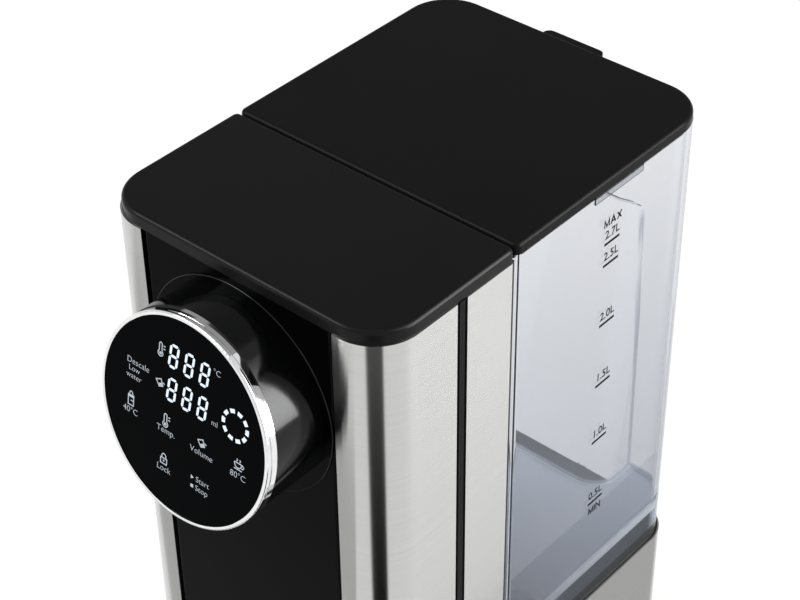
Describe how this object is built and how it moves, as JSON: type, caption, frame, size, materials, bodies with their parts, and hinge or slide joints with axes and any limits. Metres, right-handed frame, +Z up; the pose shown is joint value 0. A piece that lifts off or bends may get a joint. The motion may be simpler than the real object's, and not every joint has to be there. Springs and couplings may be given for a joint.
{
  "type": "hot water dispenser",
  "caption": "Countertop hot water dispenser: steel and black column with a round display head over a drip tray, and a clear lift-off tank with a hinged lid behind.",
  "frame": {"origin": "middle of the footprint's box, on the table", "axes": "+Z up, +Y to the rear where the tank stands, +X to the right seen from the front"},
  "size_m": [0.151, 0.2892, 0.32],
  "materials": {
    "satin_black": "satin black moulded plastic",
    "gloss_black": "piano black moulded plastic",
    "casing_black": "matt black moulded plastic",
    "brushed_steel": "stainless sheet, fine horizontal brushing",
    "strip_black": "black extruded strip",
    "chrome": "bright chrome",
    "display_glass": "black touch glass with lit figures",
    "tank_clear": "clear moulded plastic with a faint blue tint",
    "diffuser": "milky white",
    "board_green": "solder-masked circuit board",
    "components": "black epoxy and plastic",
    "black_rubber": "matt rubber",
    "silicone": "milky silicone",
    "steel": "zinc plated steel",
    "stainless": "stainless steel",
    "white_nylon": "off-white nylon",
    "valve_grey": "dark grey acetal",
    "cable_black": "black sheath"
  },
  "bodies": {
    "housing": {"base_pan": "casing_black", "base_wall": "casing_black", "rubber_feet": "black_rubber", "base_screws": "steel", "front_skin_right": "brushed_steel", "front_skin_left": "brushed_steel", "rear_skin": "brushed_steel", "side_strip_right": "strip_black", "side_strip_left": "strip_black", "column_frame": "casing_black", "column_back": "casing_black", "back_screws": "steel", "front_panel": "gloss_black", "panel_screws": "steel", "front_cover": "satin_black", "head_shell": "gloss_black", "head_screws": "steel", "bezel_ring": "chrome", "display_glass": "display_glass", "light_guide": "diffuser", "display_board": "board_green", "spout": "gloss_black", "spout_tip": "stainless", "tank_seat": "casing_black", "inlet_socket": "valve_grey", "inlet_seal": "silicone", "heater_tube": "stainless", "heater_caps": "white_nylon", "heater_bracket": "steel", "thermal_cutouts": "components", "temperature_sensor": "stainless", "hose_tank": "silicone", "hose_meter": "silicone", "hose_pump": "silicone", "hose_outlet": "silicone", "hose_clips": "white_nylon", "power_board": "board_green", "board_components": "components", "board_screws": "steel", "display_cable": "cable_black", "mains_gland": "casing_black", "pump_motor": "steel", "pump_head": "white_nylon", "pump_mount": "black_rubber", "meter_body": "white_nylon", "meter_cap": "white_nylon"},
    "tank": {"tank_shell": "tank_clear", "hinge_pin": "stainless", "valve_body": "valve_grey", "valve_gasket": "silicone", "valve_nut": "valve_grey", "valve_spring": "stainless", "tank_filter": "valve_grey"},
    "valve": {"valve_stem": "white_nylon", "valve_seal": "silicone"},
    "lid": {"tank_lid": "satin_black"},
    "tray": {"drip_tray": "satin_black"},
    "grid": {"drip_grid": "stainless"},
    "motor_shaft": {"pump_shaft": "stainless"},
    "impeller": {"flow_impeller": "valve_grey"}
  },
  "joints": [
    {"name": "tank_lift", "type": "slide", "parent": "housing", "child": "tank", "axis": [0, 0, 1], "range_m": [0, 0.26]},
    {"name": "lid_hinge", "type": "hinge", "parent": "tank", "child": "lid", "pos_m": [0, 0.14205, 0.3158], "axis": [-1, 0, 0], "range_deg": [0, 95]},
    {"name": "valve_travel", "type": "slide", "parent": "tank", "child": "valve", "axis": [0, 0, 1], "range_m": [-0.0025, 0], "deforming": ["valve_spring"]},
    {"name": "tray_slide", "type": "slide", "parent": "housing", "child": "tray", "axis": [0, -1, 0], "range_m": [0, 0.09]},
    {"name": "grid_lift", "type": "slide", "parent": "tray", "child": "grid", "axis": [0, 0, 1], "range_m": [0, 0.06]},
    {"name": "motor_spin", "type": "hinge", "parent": "housing", "child": "motor_shaft", "pos_m": [-0.046, 0.09335, 0.03], "axis": [0, 1, 0], "continuous": true},
    {"name": "impeller_spin", "type": "hinge", "parent": "housing", "child": "impeller", "pos_m": [-0.036, -0.01005, 0.03], "axis": [0, 0, 1], "continuous": true}
  ],
  "couplings": [
    {"joint": "valve_travel", "follows": "tank_lift", "ratio": -0.0096}
  ]
}
